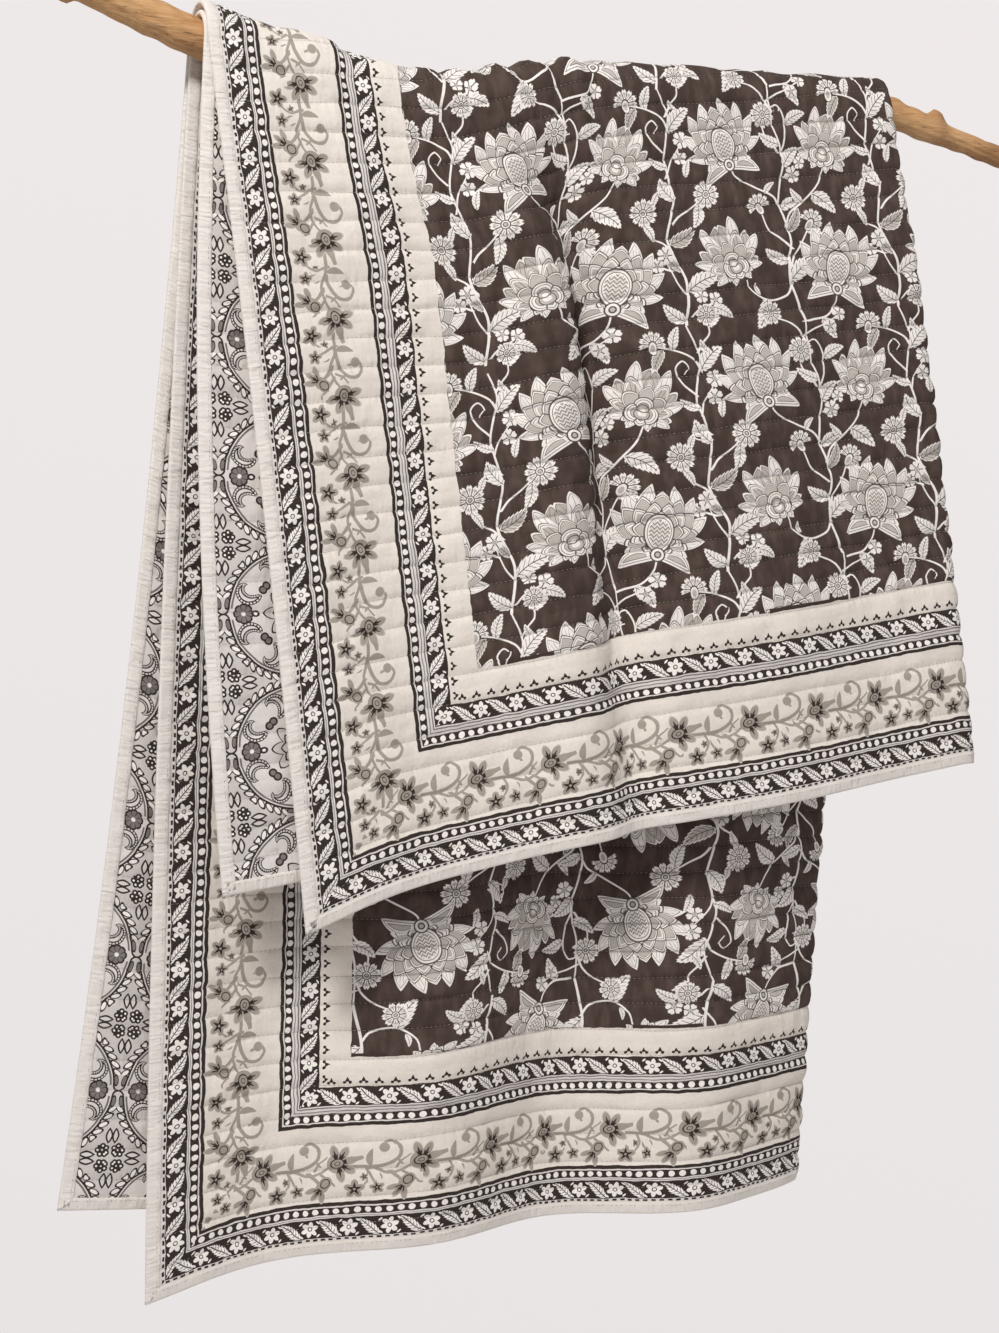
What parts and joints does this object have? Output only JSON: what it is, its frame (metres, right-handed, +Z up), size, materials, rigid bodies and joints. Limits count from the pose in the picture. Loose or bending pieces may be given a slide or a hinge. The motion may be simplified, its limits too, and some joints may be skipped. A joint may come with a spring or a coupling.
{
  "type": "quilted throw on a wooden branch rail",
  "caption": "Cotton throw with quilted rows and a bound edge, folded in half lengthwise and hung over a crooked wooden branch, longer at the back.",
  "frame": {"origin": "on the branch's axis, in the middle of the stretch that the throw covers", "axes": "+X along the branch towards the throw's fold, +Y towards the long back drop, +Z up"},
  "size_m": [0.903, 0.1492, 1.0368],
  "materials": {
    "quilted_cotton": "block-printed cotton, matt, with sewn channels",
    "cotton_binding": "plain cream cotton, matt",
    "peeled_wood": "peeled branch, smoothed, unvarnished"
  },
  "bodies": {
    "root": {"quilt": "quilted_cotton", "binding": "cotton_binding", "branch": "peeled_wood"}
  },
  "joints": []
}
